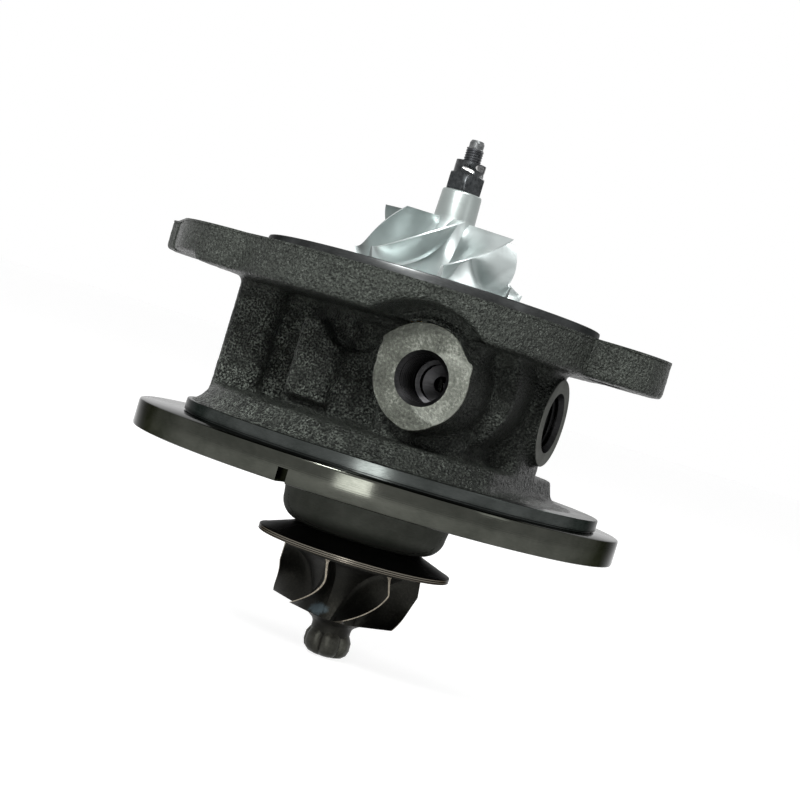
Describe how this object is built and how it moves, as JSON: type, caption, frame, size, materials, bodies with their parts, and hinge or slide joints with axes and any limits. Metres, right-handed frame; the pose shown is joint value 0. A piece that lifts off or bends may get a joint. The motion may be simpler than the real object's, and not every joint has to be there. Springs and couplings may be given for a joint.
{
  "type": "turbocharger cartridge",
  "caption": "Turbocharger core: cast bearing housing with a lobed flange and a round flange ring, carrying a spinning shaft with a bladed compressor wheel and turbine wheel.",
  "frame": {"origin": "rotor axis at the compressor flange face", "axes": "+Z along the rotor axis towards the compressor, -Y towards the oil inlet side"},
  "size_m": [0.1083, 0.105, 0.1082],
  "materials": {
    "cast_iron": "sandy cast skin with machined faces",
    "heat_steel": "heat-tinted sheet",
    "turned_iron": "turned",
    "rubber": "smooth",
    "spring_steel": "phosphated",
    "bronze": "turned",
    "steel": "ground",
    "sheet_steel": "pressed",
    "seal_iron": "ground",
    "shaft_steel": "ground",
    "turbine_alloy": "cast, ground blade tips",
    "milled_aluminium": "milled",
    "black_oxide": "black oxide with ground cuts"
  },
  "bodies": {
    "housing": {"bearing_housing": "cast_iron", "heat_shield": "heat_steel", "seal_plate": "turned_iron", "seal_plate_o_ring": "rubber", "seal_plate_retaining_ring": "spring_steel", "thrust_bearing": "bronze", "thrust_bearing_pins": "steel", "oil_deflector": "sheet_steel", "compressor_seal_ring": "seal_iron", "turbine_seal_ring": "seal_iron", "compressor_bush_outer_clip": "spring_steel", "compressor_bush_inner_clip": "spring_steel", "turbine_bush_inner_clip": "spring_steel", "turbine_bush_outer_clip": "spring_steel"},
    "compressor_bush": {"compressor_bush": "bronze"},
    "turbine_bush": {"turbine_bush": "bronze"},
    "rotor": {"rotor_shaft": "shaft_steel", "turbine_wheel": "turbine_alloy", "thrust_washer": "steel", "thrust_collar": "steel", "oil_flinger": "steel", "compressor_wheel": "milled_aluminium", "compressor_nut": "black_oxide"}
  },
  "joints": [
    {"name": "rotor_spin", "type": "hinge", "parent": "housing", "child": "rotor", "pos_m": [0, 0, 0], "axis": [0, 0, 1], "continuous": true},
    {"name": "compressor_bush_spin", "type": "hinge", "parent": "housing", "child": "compressor_bush", "pos_m": [0, 0, -0.0152], "axis": [0, 0, 1], "continuous": true},
    {"name": "turbine_bush_spin", "type": "hinge", "parent": "housing", "child": "turbine_bush", "pos_m": [0, 0, -0.0358], "axis": [0, 0, 1], "continuous": true}
  ]
}
